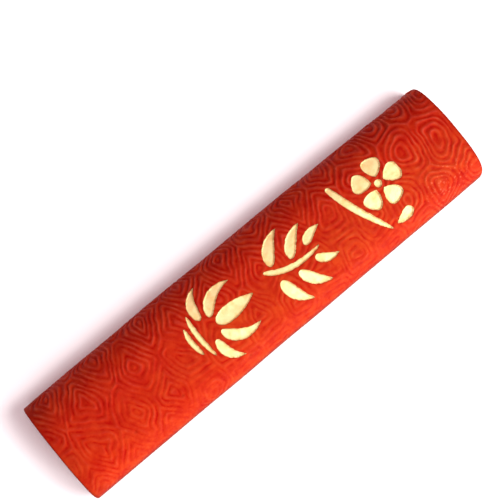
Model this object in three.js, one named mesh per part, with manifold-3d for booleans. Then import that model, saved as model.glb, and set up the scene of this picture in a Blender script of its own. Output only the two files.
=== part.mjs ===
// An ink stick: one pressed block of vermilion ink with a domed face, square-cut ends and a flat
// underside, and the gilding that fills shallow marks pressed into the dome.
// Millimetres. X runs along the stick, Y across it and Z up. The origin is the middle of the underside.
import * as THREE from "three";
import { mergeVertices } from "three/addons/utils/BufferGeometryUtils.js";
import Module from "manifold-3d";

const wasm = await Module();
wasm.setup();

// The block.
const LENGTH = 95.2;
const WIDTH = 22;
const THICKNESS = 10.6;
const WALL_HEIGHT = 3; // the long sides stand upright this far, and the dome springs from there
const DOME_POWER = 2.5; // superellipse power: 2 is an ellipse, and more is flatter on top
const FOOT_RADIUS = 1.2; // rounding along the two long edges of the underside
const END_ROUNDING = 0.4; // rounding all round the two cut ends

// The gilding. Each mark is a thin film on the floor of its own recess.
const RECESS_DEPTH = 0.4;
const FILM_THICKNESS = 0.15;
const CLEARANCE = 0.04; // air between a film and the block, under it and round its outline

// How finely curves are divided.
const DOME_STEPS = 24;
const FOOT_STEPS = 3;
const END_STEPS = 3;
const MARK_STEPS = 12;

const inkMaterial = new THREE.MeshStandardMaterial({ color: 0xc8341a, roughness: 0.55, metalness: 0 });
const giltMaterial = new THREE.MeshStandardMaterial({ color: 0xf2e3a6, roughness: 0.45, metalness: 0.3 });

// The dome's outline over the top from one springing line to the other, as [across, up] points.
function domePoints(halfWidth, rise) {
  const points = [];
  for (let i = -DOME_STEPS / 2; i <= DOME_STEPS / 2; i++) {
    const angle = (Math.PI * i) / DOME_STEPS;
    const across = Math.sign(i) * Math.abs(Math.sin(angle)) ** (2 / DOME_POWER);
    const up = Math.cos(angle) ** (2 / DOME_POWER);
    points.push([halfWidth * across, WALL_HEIGHT + rise * up]);
  }
  return points;
}

// The cross-section of the stick, with its sides and dome drawn in by inset.
function stickSection(inset) {
  const halfWidth = WIDTH / 2 - inset;
  const section = new THREE.Shape();
  section.moveTo(-halfWidth + FOOT_RADIUS, 0);
  section.lineTo(halfWidth - FOOT_RADIUS, 0);
  section.absarc(halfWidth - FOOT_RADIUS, FOOT_RADIUS, FOOT_RADIUS, -Math.PI / 2, 0);
  for (const [across, up] of domePoints(halfWidth, THICKNESS - WALL_HEIGHT - inset).reverse())
    section.lineTo(across, up);
  section.absarc(-halfWidth + FOOT_RADIUS, FOOT_RADIUS, FOOT_RADIUS, Math.PI, 1.5 * Math.PI);
  return section;
}

// The stick's section run along X, with rounded ends.
function stickSolid(inset) {
  const extrusion = new THREE.ExtrudeGeometry(stickSection(inset), {
    depth: LENGTH - 2 * END_ROUNDING,
    curveSegments: FOOT_STEPS,
    bevelThickness: END_ROUNDING,
    bevelSize: END_ROUNDING,
    bevelOffset: -END_ROUNDING,
    bevelSegments: END_STEPS,
  });
  extrusion.translate(0, 0, END_ROUNDING - LENGTH / 2);
  const lieAlongX = new THREE.Matrix4().makeBasis(
    new THREE.Vector3(0, 1, 0),
    new THREE.Vector3(0, 0, 1),
    new THREE.Vector3(1, 0, 0),
  );
  return solidFrom(extrusion.applyMatrix4(lieAlongX));
}

// A closed three.js geometry as a manifold-3d solid.
function solidFrom(geometry) {
  const bare = new THREE.BufferGeometry();
  bare.setAttribute("position", geometry.getAttribute("position"));
  bare.setIndex(geometry.index);
  const merged = mergeVertices(bare, 1e-4);
  return new wasm.Manifold(
    new wasm.Mesh({
      numProp: 3,
      vertProperties: merged.getAttribute("position").array,
      triVerts: new Uint32Array(merged.index.array),
    }),
  );
}

// A manifold-3d solid as a three.js geometry with flat facets.
function geometryFrom(solid) {
  const mesh = solid.getMesh();
  const indexed = new THREE.BufferGeometry();
  indexed.setAttribute("position", new THREE.BufferAttribute(mesh.vertProperties, 3));
  indexed.setIndex(new THREE.BufferAttribute(mesh.triVerts, 1));
  const faceted = indexed.toNonIndexed();
  faceted.computeVertexNormals();
  return faceted;
}

// The outline of a brush mark, seen from above. It follows a curve from one point, towards another,
// to a third, each [x, y]. It fills out from its two ends as powers of the distance from them: a
// power near 0 makes a blunt end, 0.5 a round one and 1 a pointed one.
function markOutline({ from, towards, to, width, start, end }) {
  const points = [from, towards ?? midpoint(from, to), to].map(([x, y]) => new THREE.Vector2(x, y));
  const spine = new THREE.QuadraticBezierCurve(...points);
  const widest = start / (start + end);
  const fullness = widest ** start * (1 - widest) ** end;
  const oneSide = [];
  const otherSide = [];
  for (let i = 0; i <= MARK_STEPS; i++) {
    const t = (1 - Math.cos((Math.PI * i) / MARK_STEPS)) / 2;
    const half = (width / 2) * ((t ** start * (1 - t) ** end) / fullness);
    const along = spine.getTangent(t);
    const sideways = new THREE.Vector2(-along.y, along.x).multiplyScalar(half);
    oneSide.push(spine.getPoint(t).sub(sideways));
    if (i > 0 && i < MARK_STEPS) otherSide.unshift(spine.getPoint(t).add(sideways));
  }
  return [...oneSide, ...otherSide];
}

function midpoint([x0, y0], [x1, y1]) {
  return [(x0 + x1) / 2, (y0 + y1) / 2];
}

// An anticlockwise outline moved outwards by a distance.
function grown(outline, distance) {
  return outline.map((point, i) => {
    const before = outline.at(i - 1);
    const after = outline[(i + 1) % outline.length];
    const along = new THREE.Vector2().subVectors(after, before).normalize();
    return new THREE.Vector2(point.x + along.y * distance, point.y - along.x * distance);
  });
}

// An outline stood up as a prism that passes right through the dome.
function prism(outline) {
  const extrusion = new THREE.ExtrudeGeometry(new THREE.Shape(outline), {
    depth: THICKNESS,
    bevelEnabled: false,
  });
  return solidFrom(extrusion.translate(0, 0, WALL_HEIGHT));
}

// A point at a distance and a turn from a centre, where a turn of 0 points along +X.
function around([x, y], distance, turn) {
  return [x + distance * Math.cos(turn), y + distance * Math.sin(turn)];
}

// A point on the other side of the stick's middle line.
function mirrored([x, y]) {
  return [x, -y];
}

// The kinds of brush mark, by how they fill out from each end.
const PETAL = { start: 0.8, end: 0.36 };
const LEAF = { start: 0.5, end: 0.9 };
const STEM = { start: 0.25, end: 0.45 };
const DOT = { start: 0.5, end: 0.5 };

// A plum blossom with five petals, over a twig that ends in a bud.
function plumMarks() {
  const centre = [29.2, 0.8];
  const petals = 5;
  const marks = {
    plum_heart: { from: around(centre, 0.8, Math.PI), to: around(centre, 0.8, 0), width: 1.6, ...DOT },
    plum_twig: { from: [21, 6.4], towards: [22, -0.5], to: [26.3, -7.6], width: 1.5, ...STEM },
    plum_bud: { from: [27.5, -7.3], towards: [29.5, -7.4], to: [31.6, -6.5], width: 2.1, ...PETAL },
  };
  for (let i = 0; i < petals; i++) {
    const turn = (2 * Math.PI * i) / petals;
    const petal = { from: around(centre, 1.25, turn), to: around(centre, 5.1, turn), width: 3.8, ...PETAL };
    marks[`plum_petal_${i + 1}`] = petal;
  }
  return marks;
}

// A leafy sprig: a bowed stem with three leaves on each side.
function sprigMarks() {
  const marks = {
    sprig_stem: { from: [1.8, 1.6], towards: [6, -2.2], to: [13.4, -0.9], width: 1.2, ...STEM },
  };
  const leaves = [
    { from: [3.8, 1.5], towards: [5, 5.4], to: [9, 6.6], width: 2.5 },
    { from: [3.7, -1.6], towards: [3.2, -5.4], to: [6.6, -8], width: 2.5 },
    { from: [7.6, 0.2], towards: [9.2, 3.6], to: [13, 4.7], width: 2.3 },
    { from: [7.3, -2.3], towards: [8, -5.6], to: [11.6, -7.4], width: 2.3 },
    { from: [11.3, 0.5], towards: [12.8, 2.2], to: [15.7, 2.1], width: 1.9 },
    { from: [11.3, -2.1], towards: [12.5, -4.1], to: [15.5, -4.3], width: 1.9 },
  ];
  leaves.forEach((leaf, i) => {
    marks[`sprig_leaf_${i + 1}`] = { ...leaf, ...LEAF };
  });
  return marks;
}

// A lotus in side view: a middle petal, two pairs of side petals, and two ripples below it.
function lotusMarks() {
  const inner = { from: [-10.8, 1.5], towards: [-9, 5.9], to: [-3.8, 4.8], width: 2.3, ...LEAF };
  const outer = { from: [-12.4, 2.2], towards: [-13.2, 6.2], to: [-9.8, 7.8], width: 2, ...LEAF };
  const marks = {
    lotus_petal_1: { from: [-10.6, 0], to: [-1.8, 0], width: 3.2, ...LEAF },
    lotus_ripple_1: { from: [-14.2, 4.6], towards: [-15.2, 0], to: [-14.2, -4.6], width: 1.1, ...DOT },
    lotus_ripple_2: { from: [-15.9, 3], towards: [-16.8, 0], to: [-15.9, -3], width: 1.1, ...DOT },
  };
  [inner, outer].forEach((petal, i) => {
    const { from, towards, to } = petal;
    const other = { ...petal, from: mirrored(from), towards: mirrored(towards), to: mirrored(to) };
    marks[`lotus_petal_${2 * i + 2}`] = petal;
    marks[`lotus_petal_${2 * i + 3}`] = other;
  });
  return marks;
}

// The films are cut from the layer between two smaller copies of the stick.
const filmFace = stickSolid(RECESS_DEPTH - FILM_THICKNESS);
const filmBack = stickSolid(RECESS_DEPTH);
const recessFloor = stickSolid(RECESS_DEPTH + CLEARANCE);

let block = stickSolid(0);
const gilding = new THREE.Group();
for (const [name, mark] of Object.entries({ ...plumMarks(), ...sprigMarks(), ...lotusMarks() })) {
  const outline = markOutline(mark);
  const film = prism(outline).intersect(filmFace).subtract(filmBack);
  const recess = prism(grown(outline, CLEARANCE)).subtract(recessFloor);
  const patch = new THREE.Mesh(geometryFrom(film), giltMaterial);
  patch.name = name;
  gilding.add(patch);
  block = block.subtract(recess);
}

const inkBody = new THREE.Mesh(geometryFrom(block), inkMaterial);
inkBody.name = "ink_body";

const group = new THREE.Group();
group.add(inkBody, gilding);

export default group;
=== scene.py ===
import math

import bpy
import numpy as np
from mathutils import Matrix, Vector
from mathutils.bvhtree import BVHTree
from mathutils.geometry import delaunay_2d_cdt


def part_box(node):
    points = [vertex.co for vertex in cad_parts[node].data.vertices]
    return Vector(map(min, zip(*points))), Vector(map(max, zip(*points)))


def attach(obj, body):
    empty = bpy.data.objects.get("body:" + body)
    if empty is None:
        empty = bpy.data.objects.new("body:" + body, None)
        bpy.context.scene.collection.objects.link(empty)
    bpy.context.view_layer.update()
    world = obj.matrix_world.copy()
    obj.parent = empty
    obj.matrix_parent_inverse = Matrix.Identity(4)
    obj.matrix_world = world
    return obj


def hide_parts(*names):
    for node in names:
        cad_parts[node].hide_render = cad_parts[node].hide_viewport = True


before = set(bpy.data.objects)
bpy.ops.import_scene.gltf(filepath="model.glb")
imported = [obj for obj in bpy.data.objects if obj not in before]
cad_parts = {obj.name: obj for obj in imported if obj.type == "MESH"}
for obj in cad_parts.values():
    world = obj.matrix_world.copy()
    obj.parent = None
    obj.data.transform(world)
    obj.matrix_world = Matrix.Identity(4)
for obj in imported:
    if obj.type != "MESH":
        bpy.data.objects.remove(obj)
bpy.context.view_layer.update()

MM = 0.001
BODY_NODE = "ink_body"
GILT_NODES = sorted(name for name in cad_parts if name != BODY_NODE)

# The block. Its overall size comes from the CAD node, and its section repeats the CAD model's.
low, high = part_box(BODY_NODE)
LENGTH = (high.x - low.x) / MM
HALF_WIDTH = (high.y - low.y) / 2 / MM
THICKNESS = (high.z - low.z) / MM
WALL_HEIGHT = 3.0
DOME_POWER = 2.5
FOOT_RADIUS = 1.2

# Wear and unevenness, which the CAD model leaves out.
END_ROUNDING = 0.28  # radius of the edge round each end
LEAST_ROUNDING = 0.12
END_WEAR = 0.06  # how far the rounding of the ends varies either way
CORNER_WEAR = 0.5  # extra rounding of the one corner that is rubbed away
CORNER_WEAR_AT = -14  # arc length at the middle of that corner
CORNER_WEAR_REACH = 3.5
END_DENTS = 0.05  # unevenness of the end faces
RIM_FADE = 12  # how fast the unevenness of an end's rim dies out over its face
# How far each corner stands out beyond the middle of its end, by the signs of its X and Y.
CORNER_FLARE = {(-1, -1): 0.5, (-1, 1): 0.65, (1, -1): 0.0, (1, 1): 0.3}
SIDE_BOW = 0.3  # how far the +Y side bows outwards
SIDE_BULGE = 0.1  # how far the -Y side stands out of the true section
PRESSING_DIPS = 0.05  # how far the whole surface rises and dips
FOOT_FADE = 1.2  # relief and dips die out over this much of the foot

# The sunk marks and their gilding.
RECESS_DEPTH = 0.4
RECESS_WALL = 0.22  # width of the sloping wall, seen from above
FILM_RISE = 0.05  # each vertex of a film's front stands at least this far above the block
FILM_THICKNESS = 0.04

# The ring relief.
RING_PITCH = 0.82
RIDGE_HEIGHT = 0.145
RING_STRETCH = 0.66  # rings are drawn out across the stick by one over this
OVAL_STRETCH = 0.74  # the same near the +X end, where the rings are ovals
CORNER_SOFTNESS = 0.18  # how far the corners of inner rings are rounded
OVAL_SOFTNESS = 0.42  # the same for the ovals
OVALS_FROM = 22  # rings turn into ovals from here
OVALS_FULLY = 34
WANDER = 0.16  # how far ridges wander in long waves
JITTER = 0.07  # and in short ones
PITCH_WAVER = 0.09  # how far ridges stray from even spacing
END_FADE = 1.2  # the relief fades over this much of each end
PITS = ((34.9, -10.8), (-34.3, -5.8), (-23.6, -6.2), (8.3, 7.6), (-9.5, -8.9))
PIT_RADIUS = 0.3
PIT_DEPTH = 0.12
GLINT_SPOT = (40.5, -8)  # the middle of a patch of painted glints
GLINT_REACH = (8, 6)

# Spacing of the vertices of the block's skin.
ALONG_STEP = 0.196
DOME_STEP = 0.185
WALL_STEP = 0.26
DOME_REACH = 13.0  # arc length from the crown up to which the finer step is used
FOOT_STEPS = 5
UNDERSIDE_STEPS = 5
END_STEPS = 6
CAP_RINGS = (0.97, 0.9, 0.8, 0.65, 0.45, 0.25)  # sizes of the rings of an end face, next to its rim

# Middles of the rings on the dome and walls: place along the stick, and arc length
# from the crown.
RING_CENTRES = (
    (-48, 17.2), (-38.4, 17.5), (-27, 16.9), (-16.8, 17.6), (-7.4, 16.4), (1.4, 18.4),
    (9.2, 18.6), (17.8, 16.8), (27.2, 17.4), (34.6, 19.8), (43, 20), (50.5, 18.6),
    (-44, 10.5), (-32.5, 10.2), (-21.6, 9.4), (-12, 11.2), (-2.8, 8.6), (5.6, 12),
    (13.8, 8.9), (22.4, 12.2), (29.4, 9.8), (35.4, 12.4), (41, 13), (46.8, 10.8),
    (-48.8, 2.8), (-38, 3), (-26.8, 3), (-16.2, 4), (-8, 3.8), (1.4, 2.2), (9.4, 3.6),
    (18.2, 2.2), (27.4, 3.6), (37, 2.2),
    (-48.8, -4.4), (-40.4, -4), (-32, -3.8), (-24.4, -5), (-19, -1.2), (-10.6, -4), (-3.4, -4.6),
    (3.4, -6.8), (10.8, -4), (18, -6.8), (24.6, -3), (31.6, -5.6), (43, -0.2), (38.6, -8),
    (50.6, -0.5),
    (-45.6, -10.8), (-36.4, -9.9), (-27.4, -10.6), (-19.2, -9.4), (-11, -11), (-3, -12),
    (10.2, -11.6), (25, -10.6), (32.4, -13), (46.4, -9), (41.6, -14.5),
    (-50, -17.4), (-41, -17.2), (-32, -17.4), (-23.4, -16.8), (-15.4, -18), (-7, -19),
    (3.4, -15.4), (10.4, -19.4), (17.6, -15), (25.4, -18), (36.4, -19.6), (49, -17),
)


# ---- Helpers ----


def waves(x, s, wavelength, seed, count=8):
    """Smooth random undulation, about -1 to 1: plane waves in seeded directions, added up."""
    random = np.random.default_rng(seed)
    total = 0
    for _ in range(count):
        turn, phase = random.uniform(0, 2 * math.pi, 2)
        rate = 2 * math.pi / (wavelength * random.uniform(0.7, 1.4))
        total = total + np.sin(rate * (x * math.cos(turn) + s * math.sin(turn)) + phase)
    return total / math.sqrt(count)


def ramp(value, start, end):
    """0 where value is at start or before it, 1 where it is at end or past it, and a soft ramp between."""
    share = np.clip((value - start) / (end - start), 0, 1)
    return share * share * (3 - 2 * share)


def make_mesh_object(name, points, faces, values):
    """A smooth-shaded mesh from points in millimetres, with one value per point in each named attribute."""
    mesh = bpy.data.meshes.new(name)
    mesh.from_pydata((points * MM).tolist(), [], faces)
    mesh.polygons.foreach_set("use_smooth", [True] * len(mesh.polygons))
    for attribute_name, numbers in values.items():
        attribute = mesh.attributes.new(attribute_name, "FLOAT", "POINT")
        attribute.data.foreach_set("value", np.asarray(numbers, np.float32))
    mesh.update()
    piece = bpy.data.objects.new(name, mesh)
    bpy.context.scene.collection.objects.link(piece)
    return piece


# ---- The stick's cross-section ----


DOME_POINTS = 4000
FOOT_POINTS = 60


def half_section():
    """Arc length, place across and height of points from the crown to the underside's middle."""
    turn = np.linspace(0, math.pi / 2, DOME_POINTS)
    rise = THICKNESS - WALL_HEIGHT
    foot_turn = np.linspace(0, math.pi / 2, FOOT_POINTS)
    across = np.concatenate([
        HALF_WIDTH * np.sin(turn) ** (2 / DOME_POWER),
        HALF_WIDTH - FOOT_RADIUS + FOOT_RADIUS * np.cos(foot_turn),
        [0],
    ])
    height = np.concatenate([
        WALL_HEIGHT + rise * np.cos(turn) ** (2 / DOME_POWER),
        FOOT_RADIUS - FOOT_RADIUS * np.sin(foot_turn),
        [0],
    ])
    arc = np.concatenate([[0], np.cumsum(np.hypot(np.diff(across), np.diff(height)))])
    return arc, across, height


ARC, ACROSS, HEIGHT = half_section()
FOOT_START = ARC[DOME_POINTS]
FOOT_END = ARC[-2]


def section_at(s):
    """Place across and height at arc length s from the crown, which is negative on the -Y side."""
    return np.sign(s) * np.interp(np.abs(s), ARC, ACROSS), np.interp(np.abs(s), ARC, HEIGHT)


def section_normal(s):
    """The section's outward normal at arc length s, as its parts across and up."""
    step = 0.02
    inner = np.abs(s) - step
    outer = np.minimum(np.abs(s) + step, ARC[-1])
    side = np.where(s < 0, -1.0, 1.0)
    inner_across = np.where(inner < 0, -1, 1) * np.interp(np.abs(inner), ARC, ACROSS)
    run = np.interp(outer, ARC, ACROSS) - inner_across
    drop = np.interp(np.abs(inner), ARC, HEIGHT) - np.interp(outer, ARC, HEIGHT)
    size = np.hypot(run, drop)
    return side * drop / size, run / size


def arc_at(across):
    """Arc length from the crown of a place across the dome."""
    dome = ARC <= FOOT_START
    return np.sign(across) * np.interp(np.abs(across), ACROSS[dome], ARC[dome])


# ---- The gilt marks' outlines ----

UPPER_FACING = 0.4  # faces of a film whose normal points up at least this much are its front
STRAIGHT_TURN = 0.02  # radians
OUTLINE_STEP = 0.12
CORNER_CUT = 0.25  # share of a side that corner cutting takes off at each of its ends
BRUSH_WOBBLE = 0.035  # how far an outline strays from the CAD film's
OUTLINE_SEED = 100  # seeds count up from here, mark by mark


def rim_of(node):
    """The outline of a CAD film seen from above, anticlockwise: its front's directed edges with no twin."""
    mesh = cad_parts[node].data
    places = [tuple(round(v, 3) for v in (vertex.co.xy / MM)) for vertex in mesh.vertices]
    edges = set()
    for polygon in mesh.polygons:
        if polygon.normal.z > UPPER_FACING:
            corners = [places[v] for v in polygon.vertices]
            edges.update(zip(corners, corners[1:] + corners[:1]))
    following = {a: b for a, b in edges if (b, a) not in edges}
    rim = [min(following)]
    while following[rim[-1]] != rim[0]:
        rim.append(following[rim[-1]])
    return np.array(rim)


def without_straight_points(outline):
    """The outline's true corners: points where it turns."""
    before = outline - np.roll(outline, 1, axis=0)
    after = np.roll(outline, -1, axis=0) - outline
    cross = before[:, 0] * after[:, 1] - before[:, 1] * after[:, 0]
    turn = np.arctan2(cross, (before * after).sum(1))
    return outline[np.abs(turn) > STRAIGHT_TURN]


def with_cut_corners(outline):
    """One round of corner cutting, which turns a polygon towards a smooth curve."""
    following = np.roll(outline, -1, axis=0)
    near_start = (1 - CORNER_CUT) * outline + CORNER_CUT * following
    near_end = CORNER_CUT * outline + (1 - CORNER_CUT) * following
    return np.stack([near_start, near_end], 1).reshape(-1, 2)


def evenly_spaced(outline, step):
    """The closed outline resampled at even steps."""
    closed = np.vstack([outline, outline[:1]])
    run = np.concatenate([[0], np.cumsum(np.linalg.norm(np.diff(closed, axis=0), axis=1))])
    places = np.linspace(0, run[-1], round(run[-1] / step), endpoint=False)
    return np.stack([np.interp(places, run, closed[:, 0]), np.interp(places, run, closed[:, 1])], 1)


def outward(outline):
    """The unit vector outwards at each point of an anticlockwise outline."""
    along = np.roll(outline, -1, axis=0) - np.roll(outline, 1, axis=0)
    along /= np.linalg.norm(along, axis=1, keepdims=True)
    return np.stack([along[:, 1], -along[:, 0]], 1)


def mark_outline(node, seed):
    """A mark's smooth outline with the slight unevenness of a carved and brushed edge."""
    outline = with_cut_corners(with_cut_corners(without_straight_points(rim_of(node))))
    outline = evenly_spaced(outline, OUTLINE_STEP)
    wobble = waves(outline[:, 0], outline[:, 1], wavelength=1.1, seed=seed) * BRUSH_WOBBLE
    return outline + outward(outline) * wobble[:, None]


MARKS = {node: mark_outline(node, OUTLINE_SEED + i) for i, node in enumerate(GILT_NODES)}


def nearest_on_outline(points, outline):
    """For each point, the nearest point of a closed outline and the distance to it, negative inside."""
    following = np.roll(outline, -1, axis=0)
    along = following - outline
    from_start = points[:, None] - outline
    share = np.clip((from_start * along).sum(2) / (along**2).sum(1), 0, 1)
    candidates = outline + share[..., None] * along
    gaps = np.linalg.norm(points[:, None] - candidates, axis=2)
    best = gaps.argmin(1)
    rows = np.arange(len(points))
    x, y = points[:, :1], points[:, 1:]
    passes = (outline[:, 1] > y) != (following[:, 1] > y)
    with np.errstate(divide="ignore", invalid="ignore"):
        crossing = outline[:, 0] + (y - outline[:, 1]) / along[:, 1] * along[:, 0]
    inside = (passes & (x < crossing)).sum(1) % 2 == 1
    gap = gaps[rows, best]
    return candidates[rows, best], np.where(inside, -gap, gap)


def recess_depth(distance):
    """Depth of a sunk mark at a signed distance from its outline."""
    return RECESS_DEPTH * np.clip(-distance / RECESS_WALL, 0, 1)


# ---- The ring relief ----

TINY = 1e-6  # stands in for a distance of nothing where it would be divided by


def near_ovals(x):
    """0 over most of the stick and 1 near its +X end."""
    return ramp(x, OVALS_FROM, OVALS_FULLY)


def stretch_at(x):
    """The rings' stretch at a place along the stick."""
    return RING_STRETCH + (OVAL_STRETCH - RING_STRETCH) * near_ovals(x)


def wandering(x, s, seed):
    """How far the ridges wander off their true places, from a long wave and a short one."""
    long_wave = WANDER * waves(x, s, wavelength=7, seed=seed)
    return long_wave + JITTER * waves(x, s, wavelength=2.6, seed=seed + 1)


def ring_phase(x, s):
    """The relief of rings as a number of turns: whole numbers are ridges and halves are grooves.

    Each ring centre owns the part of the surface nearest to it, and ridges run parallel to the border
    with the neighbours, one pitch apart and rounded where borders meet.
    """
    warped_x = x + wandering(x, s, seed=1)
    warped_s = (s + wandering(x, s, seed=3)) * stretch_at(x)
    centres = np.array(RING_CENTRES, float)
    centres[:, 1] *= stretch_at(centres[:, 0])
    squares = (warped_x[..., None] - centres[:, 0]) ** 2 + (warped_s[..., None] - centres[:, 1]) ** 2
    owner = squares.argmin(-1)
    apart = np.linalg.norm(centres[:, None] - centres, axis=2)
    own_square = np.take_along_axis(squares, owner[..., None], -1)
    to_border = (squares - own_square) / (2 * np.maximum(apart[owner], TINY))
    np.put_along_axis(to_border, owner[..., None], np.inf, -1)
    nearest = to_border.min(-1)
    softness = CORNER_SOFTNESS + (OVAL_SOFTNESS - CORNER_SOFTNESS) * near_ovals(x)
    rounding = softness * np.log(np.exp((nearest - np.moveaxis(to_border, -1, 0)) / softness).sum(0))
    unsteady = PITCH_WAVER * waves(x, s, wavelength=3.2, seed=7)
    return (nearest + (unsteady - rounding) * ramp(nearest, 0, RING_PITCH)) / RING_PITCH


def pits(x, s):
    """Small dents in the surface, 1 at their middles."""
    total = 0
    for pit_x, pit_s in PITS:
        total = total + np.exp(-((x - pit_x) ** 2 + (s - pit_s) ** 2) / PIT_RADIUS**2)
    return np.minimum(total, 1)


# Tones and strengths are judged: most are an amount times a ramp between two places in millimetres.


def painted_shade_amount(x, s, lean):
    """How much painted shade darkens the ink: on the +Y side, which faces away from the light, at the -X
    end, on the walls, in a thin line along each end, in the pits and on the rounded end edges.
    """
    # Painted shade on the +Y side, away from the light, and towards the -X end.
    shade_side = 0.38 * ramp(s, 3, 10)
    left_end = 0.22 * ramp(x, -43, -47)
    # Painted shade where the walls turn away, and a thin painted dark line along each end.
    walls = ramp(np.abs(s), 11, 14) * np.where(s < 0, 0.8, 0.45)
    rims = 0.6 * ramp(np.abs(x), LENGTH / 2 - 0.6, LENGTH / 2)
    # Painted shade in the pits too.
    upper_face = np.maximum(np.maximum(shade_side + left_end, walls), rims) + 0.25 * pits(x, s)
    # Painted shade on the rounded edges of the ends.
    rounding = 0.8 * ramp(np.abs(lean), 0, 1.2)
    return np.maximum(upper_face, rounding)


def lit_side_and_orange_patch(x, s):
    """How far painted light warms the ink to a brighter orange towards the -Y edge, which faces the light,
    and how much more orange the ink itself is among the marks.
    """
    # Painted light: the -Y side, which faces the light, warmed to a brighter orange.
    lit_side = 0.3 * ramp(s, 1, -3) + 0.5 * ramp(s, -8, -12)
    # The ink itself is more orange among the marks.
    among_marks = 0.5 * ramp(x, -18, -12) * ramp(s, 4, 0) * ramp(s, -10, -6)
    return lit_side + among_marks


def glint_patch(x, s):
    """The patch of painted glints, 1 at its middle."""
    away = np.hypot((x - GLINT_SPOT[0]) / GLINT_REACH[0], (s - GLINT_SPOT[1]) / GLINT_REACH[1])
    return ramp(away, 1.2, 0.2)


def relief_strength(x, s):
    """How strong the rings are: faint on the walls, and rubbed down on the -Y side and at the ends."""
    on_wall = ramp(np.abs(s), 12.6, 15.1)
    on_foot = ramp(np.abs(s), FOOT_START, FOOT_START + FOOT_FADE)
    on_side = (1 - 0.75 * on_wall) * (1 - on_foot)
    at_end = 0.1 + 0.9 * ramp(np.abs(x), LENGTH / 2, LENGTH / 2 - END_FADE)
    ovals = near_ovals(x)
    rubbed_side = 1 - (0.58 - 0.13 * ovals) * ramp(s, 7, 0) - 0.15 * ramp(s, -6, -10)
    fresh_parts = (1 + 0.35 * ovals) * (1 + 0.6 * ramp(s, 5, 10))
    patches = 0.26 * waves(x, s, wavelength=8, seed=5) + 0.24 * waves(x, s, wavelength=3, seed=8)
    uneven = np.clip(0.88 + patches, 0.15, 1.5)
    return on_side * at_end * uneven * rubbed_side * fresh_parts


def swell(x, s):
    """How far the hand-pressed surface stands out of the true section, in the large."""
    above_foot = ramp(np.abs(s), FOOT_END, FOOT_END - FOOT_FADE)
    across, _ = section_at(s)
    bow = SIDE_BOW * (0.3 - (2 * x / LENGTH) ** 2) * ramp(across, 0, HALF_WIDTH)
    bulge = SIDE_BULGE * ramp(across, 0, -HALF_WIDTH)
    dips = PRESSING_DIPS * waves(x, s, wavelength=17, seed=6)
    return (dips + bow + bulge) * above_foot


# ---- The block ----

STEEPEST_MARK = 0.5  # marks lie only where the skin's normal points up more than this
CAP_SHADE = 0.7  # how much painted shade darkens the end faces


def section_steps():
    """Arc lengths at which the skin has vertices, once round the section from the underside's middle."""
    dome = np.arange(0, DOME_REACH, DOME_STEP)
    wall = np.linspace(DOME_REACH, FOOT_START, round((FOOT_START - DOME_REACH) / WALL_STEP) + 1)
    foot = np.linspace(FOOT_START, FOOT_END, FOOT_STEPS + 1)[1:]
    underside = np.linspace(FOOT_END, ARC[-1], UNDERSIDE_STEPS + 1)[1:]
    half = np.concatenate([dome[1:], wall, foot, underside])
    return np.concatenate([-half[-2::-1], [0], half])


def end_rounding(s, side):
    """The radius of the edge round an end, all the way round the section."""
    line = np.full(len(s), 9.0 * side)  # each end follows its own line through the waves
    radius = END_ROUNDING + END_WEAR * waves(s, line, wavelength=9, seed=20)
    if side > 0:
        radius += CORNER_WEAR * np.exp(-(((s - CORNER_WEAR_AT) / CORNER_WEAR_REACH) ** 2))
    return np.maximum(radius, LEAST_ROUNDING)


def end_place(across, side):
    """Distance of an end's face from the middle of the stick, at a place across the stick."""
    flare = np.where(across < 0, CORNER_FLARE[side, -1], CORNER_FLARE[side, 1])
    return LENGTH / 2 + flare * (across / HALF_WIDTH) ** 4


def skin_rows():
    """Place along the stick, arc length, lean towards the end and inset of each vertex, row by row."""
    s = section_steps()
    across, _ = section_at(s)
    left, right = end_rounding(s, -1), end_rounding(s, 1)
    count = round(LENGTH / ALONG_STEP)
    share = np.linspace(0, 1, count)[:, None]
    x = [*(left - end_place(across, -1)) * (1 - share) + (end_place(across, 1) - right) * share]
    lean = [np.zeros(len(s))] * count
    inset = [np.zeros(len(s))] * count
    for side, radius in ((-1, left), (1, right)):
        for step in range(1, END_STEPS + 1):
            turn = math.pi / 2 * step / END_STEPS
            where = len(x) if side > 0 else 0
            x.insert(where, side * (end_place(across, side) - radius * (1 - math.sin(turn))))
            lean.insert(where, np.full(len(s), side * turn))
            inset.insert(where, radius * (1 - math.cos(turn)))
    return np.array(x), np.tile(s, (len(x), 1)), np.array(lean), np.array(inset)


def snapped_to_marks(x, s):
    """Moves vertices near a mark's rim, or near the foot of its wall, exactly onto it.

    Returns the new places and each vertex's signed distance from the nearest mark.
    """
    reach = DOME_STEP / 2
    y, _ = section_at(s)
    distance = np.full(x.shape, np.inf)
    for outline in MARKS.values():
        lowest, highest = outline.min(0) - reach, outline.max(0) + reach
        near = (x > lowest[0]) & (x < highest[0]) & (y > lowest[1]) & (y < highest[1])
        near &= np.abs(s) < DOME_REACH
        points = np.stack([x[near], y[near]], 1)
        rim, gap = nearest_on_outline(points, outline)
        inwards = (rim - points) / np.where(gap == 0, 1, gap)[:, None]
        for level in (0, -RECESS_WALL):
            snap = np.abs(gap - level) < reach
            points[snap] += inwards[snap] * (gap[snap] - level)[:, None]
            gap[snap] = level
        x[near] = points[:, 0]
        y[near] = points[:, 1]
        distance[near] = np.minimum(distance[near], gap)
    dome = np.abs(s) < DOME_REACH
    s[dome] = arc_at(y[dome])
    return x, s, distance


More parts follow.
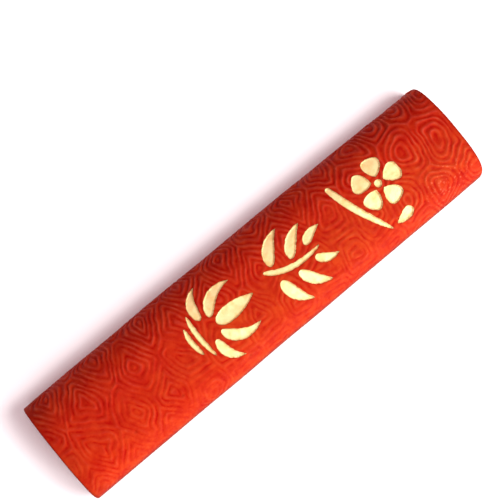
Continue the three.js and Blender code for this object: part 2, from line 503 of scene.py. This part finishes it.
def grid_triangles(rows, columns, height):
    """Triangles between neighbouring rows of a grid that closes round its columns.

    Each square is split along the diagonal whose ends are nearer in height, so that ridges stay crisp.
    """
    number = np.arange(rows * columns).reshape(rows, columns)
    a, b = number[:-1], number[1:]
    c, d = np.roll(b, -1, axis=1), np.roll(a, -1, axis=1)
    flat = height.ravel()
    first = np.abs(flat[a] - flat[c]) <= np.abs(flat[b] - flat[d])
    one = np.where(first[..., None], np.stack([a, b, c], -1), np.stack([a, b, d], -1))
    other = np.where(first[..., None], np.stack([a, c, d], -1), np.stack([b, c, d], -1))
    return np.concatenate([one.reshape(-1, 3), other.reshape(-1, 3)])


def end_cap(rim, rim_numbers, first_number, side):
    """The face of an end: rings that shrink from the rim to one middle point, slightly uneven."""
    middle = np.array([side * LENGTH / 2, 0, THICKNESS / 2])
    off_face = rim[:, 0] - side * end_place(rim[:, 1], side)
    points = []
    faces = []
    outer = rim_numbers
    for share in CAP_RINGS:
        ring = middle + (rim - middle) * share
        uneven = waves(ring[:, 1], ring[:, 2], wavelength=6, seed=30 + side) - 1
        dents = END_DENTS * (1 - share) ** 0.5 * uneven
        ring[:, 0] = side * (end_place(ring[:, 1], side) + dents) + off_face * share**RIM_FADE
        inner = first_number + len(points) * len(rim) + np.arange(len(rim))
        points.append(ring)
        quads = np.stack([outer, inner, np.roll(inner, -1), np.roll(outer, -1)], 1)
        faces += (quads if side > 0 else quads[:, ::-1]).tolist()
        outer = inner
    hub = first_number + len(points) * len(rim)
    fan = np.stack([outer, np.full(len(rim), hub), np.roll(outer, -1)], 1)
    faces += (fan if side > 0 else fan[:, ::-1]).tolist()
    centre = middle - (side * END_DENTS, 0, 0)
    return np.vstack([*points, centre]), faces


def make_block():
    """The whole skin of the block: relief, sunk marks, worn ends and a plain underside."""
    x, s, lean, inset = skin_rows()
    x, s, distance = snapped_to_marks(x, s)
    y, z = section_at(s)
    normal_y, normal_z = section_normal(s)

    phase = ring_phase(x, s)
    crest = 0.5 + 0.5 * np.cos(2 * math.pi * phase)
    strength = relief_strength(x, s) * (distance >= 0)
    relief = RIDGE_HEIGHT * (crest - 0.5) * strength - PIT_DEPTH * pits(x, s)
    proud = relief + swell(x, s) - inset

    sunk = recess_depth(distance) / np.maximum(normal_z, STEEPEST_MARK)
    outwards = proud * np.cos(lean) - inset * (1 - np.cos(lean))
    points = np.stack([
        x + relief * np.sin(lean),
        y + normal_y * outwards,
        z + normal_z * outwards - sunk,
    ], -1)
    rows, columns = x.shape
    faces = grid_triangles(rows, columns, proud - sunk).tolist()
    points = points.reshape(-1, 3)
    skin_count = len(points)
    for side, row in ((-1, 0), (1, rows - 1)):
        numbers = row * columns + np.arange(columns)
        cap_points, cap_faces = end_cap(points[numbers], numbers, len(points), side)
        points = np.vstack([points, cap_points])
        faces += cap_faces
    on_skin = {
        "ring_phase": phase,
        "relief": strength,
        # Painted shade, painted light on the -Y side and painted glints go to the material as attributes.
        "painted_shade": painted_shade_amount(x, s, lean),
        "lit_side_and_orange_patch": lit_side_and_orange_patch(x, s),
        "glints": glint_patch(x, s),
    }
    on_caps = {"painted_shade": CAP_SHADE}  # and nothing of the rest
    cap_count = len(points) - skin_count
    values = {}
    for name, numbers in on_skin.items():
        values[name] = np.concatenate([numbers.ravel(), np.full(cap_count, on_caps.get(name, 0.0))])
    return make_mesh_object("ink_block", points, faces, values)


# ---- The gilding ----

FILM_STEP = 0.14
FILM_INSET = 0.02  # the gold stops this far inside the rim
BRUSH_RIPPLE = 0.02  # how far the brushed gold rises and dips
RIPPLE_FADE = 0.5  # the ripples die out this close to the edge
THIN_EDGE = 0.45  # width of the edge along which the gold thins out and browns, with painted shade along its very edge
FILM_SEED = 200  # seeds count up from here, film by film


def film_points(outline):
    """Points for a film seen from above: its edge, then a grid inside with a ring along the wall's foot."""
    edge = outline - outward(outline) * FILM_INSET
    lowest, highest = outline.min(0), outline.max(0)
    columns, rows = np.meshgrid(*(np.arange(a, b, FILM_STEP) for a, b in zip(lowest, highest)))
    inside = np.stack([columns.ravel(), rows.ravel()], 1)
    rim, gap = nearest_on_outline(inside, outline)
    inwards = (rim - inside) / np.where(gap == 0, 1, gap)[:, None]
    snap = np.abs(gap + RECESS_WALL) < FILM_STEP / 2
    inside[snap] += inwards[snap] * (gap[snap] + RECESS_WALL)[:, None]
    return edge, inside[gap < -FILM_INSET - FILM_STEP / 2]


def heights_under(skin, places):
    """Height in millimetres of the block's skin at places seen from above."""
    above = 2 * THICKNESS * MM
    down = Vector((0, 0, -1))
    heights = []
    for x, y in places * MM:
        hit, _, _, _ = skin.ray_cast(Vector((x, y, above)), down)
        heights.append(hit.z / MM)
    return np.array(heights)


def film_triangles(outline):
    """Places and triangles that cover a mark seen from above, up to the edge of its gold."""
    edge, inside = film_points(outline)
    flat = [Vector(p) for p in np.vstack([edge, inside])]
    border = list(range(len(edge)))
    only_inside, nearest_apart = 1, 1e-5
    made = delaunay_2d_cdt(flat, [], [border], only_inside, nearest_apart)
    places = np.array([tuple(v) for v in made[0]])
    return places, [list(face) for face in made[2]]


def closed_faces(triangles, count):
    """The faces of a closed film from its front's triangles: front, back and the strip round the edge.

    The back's points follow the front's count points, in the same order.
    """
    back = [[v + count for v in reversed(face)] for face in triangles]
    edges = {(face[i], face[(i + 1) % 3]) for face in triangles for i in range(3)}
    rim = [(a, b) for a, b in sorted(edges) if (b, a) not in edges]
    return triangles + back + [[b, a, a + count, b + count] for a, b in rim]


def make_film(node, outline, seed, skin):
    """The gilding of one mark: a thin closed film over the floor and walls of its recess."""
    places, triangles = film_triangles(outline)
    _, distance = nearest_on_outline(places, outline)
    s = arc_at(places[:, 1])
    _, height = section_at(s)
    _, normal_z = section_normal(s)
    depth = recess_depth(distance) - FILM_RISE
    ripple = BRUSH_RIPPLE * waves(places[:, 0], places[:, 1], wavelength=1.3, seed=seed)
    ripple = ripple * ramp(-distance, 0, RIPPLE_FADE)
    height = height + (swell(places[:, 0], s) + ripple - depth) / normal_z
    height = np.maximum(height, heights_under(skin, places) + FILM_RISE)
    front = np.column_stack([places, height])
    back = front - (0, 0, FILM_THICKNESS)
    nearness_to_edge = 1 - ramp(-distance, 0, THIN_EDGE)
    values = {"edge": np.tile(nearness_to_edge, 2)}
    faces = closed_faces(triangles, len(front))
    return make_mesh_object("gilt_" + node, np.vstack([front, back]), faces, values)


# ---- Materials ----


class Nodes:
    """A material's node tree, with short ways to add and join nodes."""

    def __init__(self, name):
        self.material = bpy.data.materials.new(name)
        self.material.use_nodes = True
        self.tree = self.material.node_tree
        self.shader = self.tree.nodes["Principled BSDF"]

    def join(self, source, target):
        """Feeds an output into an input."""
        self.tree.links.new(source, target)

    def add(self, kind, inputs=(), **settings):
        """A node of a kind. inputs maps a socket's name or number to a value or to an output."""
        node = self.tree.nodes.new("ShaderNode" + kind)
        for setting, value in settings.items():
            setattr(node, setting, value)
        for socket, value in dict(inputs).items():
            if isinstance(value, bpy.types.NodeSocket):
                self.join(value, node.inputs[socket])
            else:
                node.inputs[socket].default_value = value
        return node

    def place(self):
        """The place on the object, in metres."""
        return self.add("TexCoord").outputs["Object"]

    def noise(self, size_mm, detail=3, roughness=0.5):
        """Noise whose features are about size_mm across."""
        inputs = {
            "Vector": self.place(),
            "Scale": 1 / (size_mm * MM),
            "Detail": detail,
            "Roughness": roughness,
        }
        return self.add("TexNoise", inputs).outputs["Fac"]

    def remap(self, value, low, high, to_low=0.0, to_high=1.0):
        """value from low to high, spread over to_low to to_high and held there beyond."""
        inputs = {
            "Value": value,
            "From Min": low,
            "From Max": high,
            "To Min": to_low,
            "To Max": to_high,
        }
        return self.add("MapRange", inputs).outputs["Result"]

    def mix(self, share, a, b, blend="MIX"):
        """Colour a turned into colour b by a share."""
        node = self.add("Mix", {0: share, 6: a, 7: b}, data_type="RGBA", blend_type=blend)
        return node.outputs[2]

    def multiply(self, a, b):
        """The product of two values or outputs."""
        return self.add("Math", {0: a, 1: b}, operation="MULTIPLY").outputs[0]

    def cosine(self, turns, rate):
        """0.5 + 0.5 cos, which is 1 wherever rate times turns is a whole number."""
        angle = self.multiply(turns, 2 * math.pi * rate)
        wave = self.add("Math", {0: angle}, operation="COSINE")
        return self.remap(wave.outputs[0], -1, 1)

    def attribute(self, name):
        """The value that the mesh carries under a name."""
        return self.add("Attribute", attribute_name=name).outputs["Fac"]

    def bump(self, height, depth_mm, strength=1.0, below=None):
        """A bump from a height of 0 to 1 that stands for depth_mm."""
        inputs = {"Height": height, "Distance": depth_mm * MM, "Strength": strength}
        if below is not None:
            inputs["Normal"] = below
        return self.add("Bump", inputs).outputs["Normal"]


def ink_colour(nodes, relief, ridges, grain):
    """The ink's colour: painted shade in the grooves and painted highlights on the ridges, streaks that are
    partly rubbed wear and partly painted glints, orange patches and mottling, painted light warming the -Y
    side, painted shade, and painted glints in one patch.
    """
    pressed = (0.45, 0.021, 0.0035, 1)
    # Painted shade in the grooves.
    groove = (0.37, 0.003, 0.0003, 1)
    # Painted highlight on the ridges.
    ridge = (0.475, 0.040, 0.018, 1)
    orange = (0.515, 0.040, 0.009, 1)
    # Streaks on the ridge tops: partly rubbed wear, partly painted glints.
    rubbed = (0.55, 0.080, 0.045, 1)
    mottled = (0.84, 0.47, 0.57, 1)
    # Painted light: multiplies the -Y side towards a brighter orange, and warms the patch among the marks.
    warmed = (1, 1.6, 1, 1)
    # Painted shade: multiplies the ink darker where the shade amount is high.
    shaded = (0.30, 0.44, 0.40, 1)
    # Painted glints: pale flecks in one patch near the +X end.
    glint_colour = (0.70, 0.16, 0.08, 1)
    patches = nodes.remap(nodes.noise(1.1, detail=2), 0.38, 0.58, 0.3, 1)
    # Painted shade darkens the grooves.
    groove_shade_share = nodes.multiply(nodes.remap(relief, 0, 0.45), patches)
    colour = nodes.mix(nodes.multiply(nodes.remap(ridges, 0.4, 0), groove_shade_share), pressed, groove)
    # Painted highlight lightens the ridges.
    ridge_highlight_share = nodes.remap(relief, 0.15, 1)
    colour = nodes.mix(nodes.multiply(nodes.remap(ridges, 0.5, 1), ridge_highlight_share), colour, ridge)
    colour = nodes.mix(nodes.remap(nodes.noise(4.5), 0.45, 0.75, 0, 0.5), colour, orange)
    colour = nodes.mix(nodes.remap(grain, 0.58, 0.75, 0, 0.35), colour, orange)
    # Pale streaks on the ridge tops, partly rubbed wear and partly painted glints.
    rubbed_glint_streaks = nodes.remap(nodes.noise(1.3), 0.5, 0.72, 0, 0.4)
    rubbed_glint_streaks = nodes.multiply(nodes.remap(ridges, 0.6, 1), rubbed_glint_streaks)
    colour = nodes.mix(nodes.multiply(rubbed_glint_streaks, relief), colour, rubbed)
    mottling = nodes.remap(nodes.noise(1.9, detail=2, roughness=0.6), 0.35, 0.65)
    colour = nodes.mix(mottling, colour, mottled, blend="MULTIPLY")
    # Painted light on the -Y side, and the orange patch among the marks.
    colour = nodes.mix(nodes.attribute("lit_side_and_orange_patch"), colour, warmed, blend="MULTIPLY")
    # Painted shade on the +Y side, the -X end, the walls, the end rims and faces, and in the pits.
    colour = nodes.mix(nodes.attribute("painted_shade"), colour, shaded, blend="MULTIPLY")
    # Painted glints: pale flecks along the ridges in one patch near the +X end.
    specks = nodes.remap(nodes.noise(0.5, detail=1), 0.58, 0.7, 0, 0.45)
    flecks = nodes.multiply(specks, nodes.remap(ridges, 0.3, 0.9, 0.3, 1))
    glint_mask = nodes.multiply(nodes.attribute("glints"), flecks)
    return nodes.mix(glint_mask, colour, glint_colour)


def ink_material():
    """Vermilion pressed ink with a fine grain, matt and slightly uneven."""
    nodes = Nodes("vermilion_ink")
    relief = nodes.attribute("relief")
    turns = nodes.attribute("ring_phase")
    ridges = nodes.cosine(turns, 1)
    grain = nodes.noise(0.22, detail=4, roughness=0.6)
    colour = ink_colour(nodes, relief, ridges, grain)
    nodes.join(colour, nodes.shader.inputs["Base Color"])
    roughness = nodes.remap(nodes.noise(0.5, detail=4), 0.3, 0.7, 0.42, 0.62)
    nodes.join(roughness, nodes.shader.inputs["Roughness"])
    nodes.shader.inputs["Specular IOR Level"].default_value = 0.03
    coarse = nodes.bump(nodes.noise(0.9, detail=3), 0.03)
    fine = nodes.bump(grain, 0.012, below=coarse)
    crisp = nodes.bump(nodes.multiply(nodes.cosine(turns, 2), relief), 0.008, below=fine)
    nodes.join(crisp, nodes.shader.inputs["Normal"])
    return nodes.material


def gilt_material():
    """Pale gold paint, thin and browner at its edges with painted shade along its very edge, and worn spots
    where the ink shows.
    """
    nodes = Nodes("gilding")
    edge = nodes.attribute("edge")
    pooled = nodes.noise(1.6)
    fleck = nodes.noise(0.16, detail=4, roughness=0.6)
    pale = (0.90, 0.71, 0.33, 1)
    deep = (0.82, 0.55, 0.20, 1)
    # ochre is thinner gold and painted shade of the recess wall; olive is painted shade only.
    ochre = (0.42, 0.24, 0.06, 1)
    olive_edge_shade = (0.20, 0.13, 0.03, 1)
    ink = (0.62, 0.06, 0.02, 1)
    colour = nodes.mix(nodes.remap(pooled, 0.42, 0.68), pale, deep)
    # Browner towards the edge, partly thinner gold and partly painted shade of the recess wall.
    colour = nodes.mix(nodes.remap(edge, 0.5, 1, 0, 0.8), colour, ochre)
    # A thin olive line of painted shade along the very edge.
    colour = nodes.mix(nodes.remap(edge, 0.85, 1, 0, 0.7), colour, olive_edge_shade)
    worn = nodes.multiply(nodes.remap(fleck, 0.62, 0.7), nodes.remap(edge, 0.1, 0.9, 0.15, 0.9))
    colour = nodes.mix(worn, colour, ink)
    nodes.join(colour, nodes.shader.inputs["Base Color"])
    nodes.shader.inputs["Metallic"].default_value = 0.25
    roughness = nodes.remap(nodes.noise(0.3, detail=3), 0.3, 0.7, 0.38, 0.58)
    nodes.join(roughness, nodes.shader.inputs["Roughness"])
    brushed = nodes.bump(nodes.noise(0.35, detail=4, roughness=0.6), 0.02)
    nodes.join(brushed, nodes.shader.inputs["Normal"])
    return nodes.material


def floor_material():
    """Plain white card."""
    nodes = Nodes("floor")
    nodes.shader.inputs["Base Color"].default_value = (0.97, 0.97, 0.97, 1)
    nodes.shader.inputs["Roughness"].default_value = 0.9
    return nodes.material


# ---- Putting the pieces together ----


def add_pieces():
    """Every piece rides on the one body, and stands for its CAD node."""
    block = make_block()
    block.data.materials.append(ink_material())
    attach(block, "root")
    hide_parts(BODY_NODE)
    corners = [vertex.co for vertex in block.data.vertices]
    skin = BVHTree.FromPolygons(corners, [polygon.vertices[:] for polygon in block.data.polygons])
    gilding = gilt_material()
    for i, (node, outline) in enumerate(MARKS.items()):
        film = make_film(node, outline, FILM_SEED + i, skin)
        film.data.materials.append(gilding)
        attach(film, "root")
        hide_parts(node)


# ---- Floor, light and camera ----


def add_floor(half_side=2.0):
    """A square of white card, half_side in metres."""
    corners = np.array([(-1, -1, 0), (1, -1, 0), (1, 1, 0), (-1, 1, 0)]) * half_side / MM
    floor = make_mesh_object("floor", corners, [[0, 1, 2, 3]], {})
    floor.data.materials.append(floor_material())


def add_area_light(name, azimuth, elevation, size, power, distance=0.6):
    """A square soft light aimed at the stick. Angles are in degrees, the azimuth anticlockwise from +X."""
    azimuth, elevation = math.radians(azimuth), math.radians(elevation)
    towards = Vector((
        math.cos(azimuth) * math.cos(elevation),
        math.sin(azimuth) * math.cos(elevation),
        math.sin(elevation),
    ))
    light = bpy.data.lights.new(name, "AREA")
    light.size = size
    light.energy = power
    lamp = bpy.data.objects.new(name, light)
    lamp.location = towards * distance
    lamp.rotation_euler = (-towards).to_track_quat("-Z", "Y").to_euler()
    bpy.context.scene.collection.objects.link(lamp)


def add_lights():
    """A soft key light towards +X and -Y, a low one along the -Y side, one above, and a pink surround."""
    add_area_light("key", azimuth=-41, elevation=54, size=0.24, power=2.9)
    add_area_light("side", azimuth=-80, elevation=13, size=0.20, power=3.6)
    add_area_light("above", azimuth=0, elevation=90, size=0.30, power=0.55)
    world = bpy.data.worlds.new("surround")
    world.use_nodes = True
    background = world.node_tree.nodes["Background"]
    background.inputs["Color"].default_value = (1, 0.70, 0.76, 1)
    background.inputs["Strength"].default_value = 0.56
    bpy.context.scene.world = world


def add_camera():
    """The camera stands over the stick's -X half, and sees it run up to the picture's right."""
    place = Vector((-11.5, 0.8, 175.9)) * MM
    looking = Vector((0.0859, 0.0339, -0.9957)).normalized()
    right = Vector((0.7677, -0.6392, 0.0445))
    right = (right - looking * right.dot(looking)).normalized()
    up = right.cross(looking)
    camera = bpy.data.cameras.new("camera")
    camera.sensor_width = 36
    camera.lens = 64.8
    camera.clip_start = 0.01
    eye = bpy.data.objects.new("camera", camera)
    eye.matrix_world = Matrix.Translation(place) @ Matrix((right, up, -looking)).transposed().to_4x4()
    bpy.context.scene.collection.objects.link(eye)
    bpy.context.scene.camera = eye


add_camera()
add_pieces()
add_floor()
add_lights()
bpy.context.scene.view_settings.view_transform = "Standard"
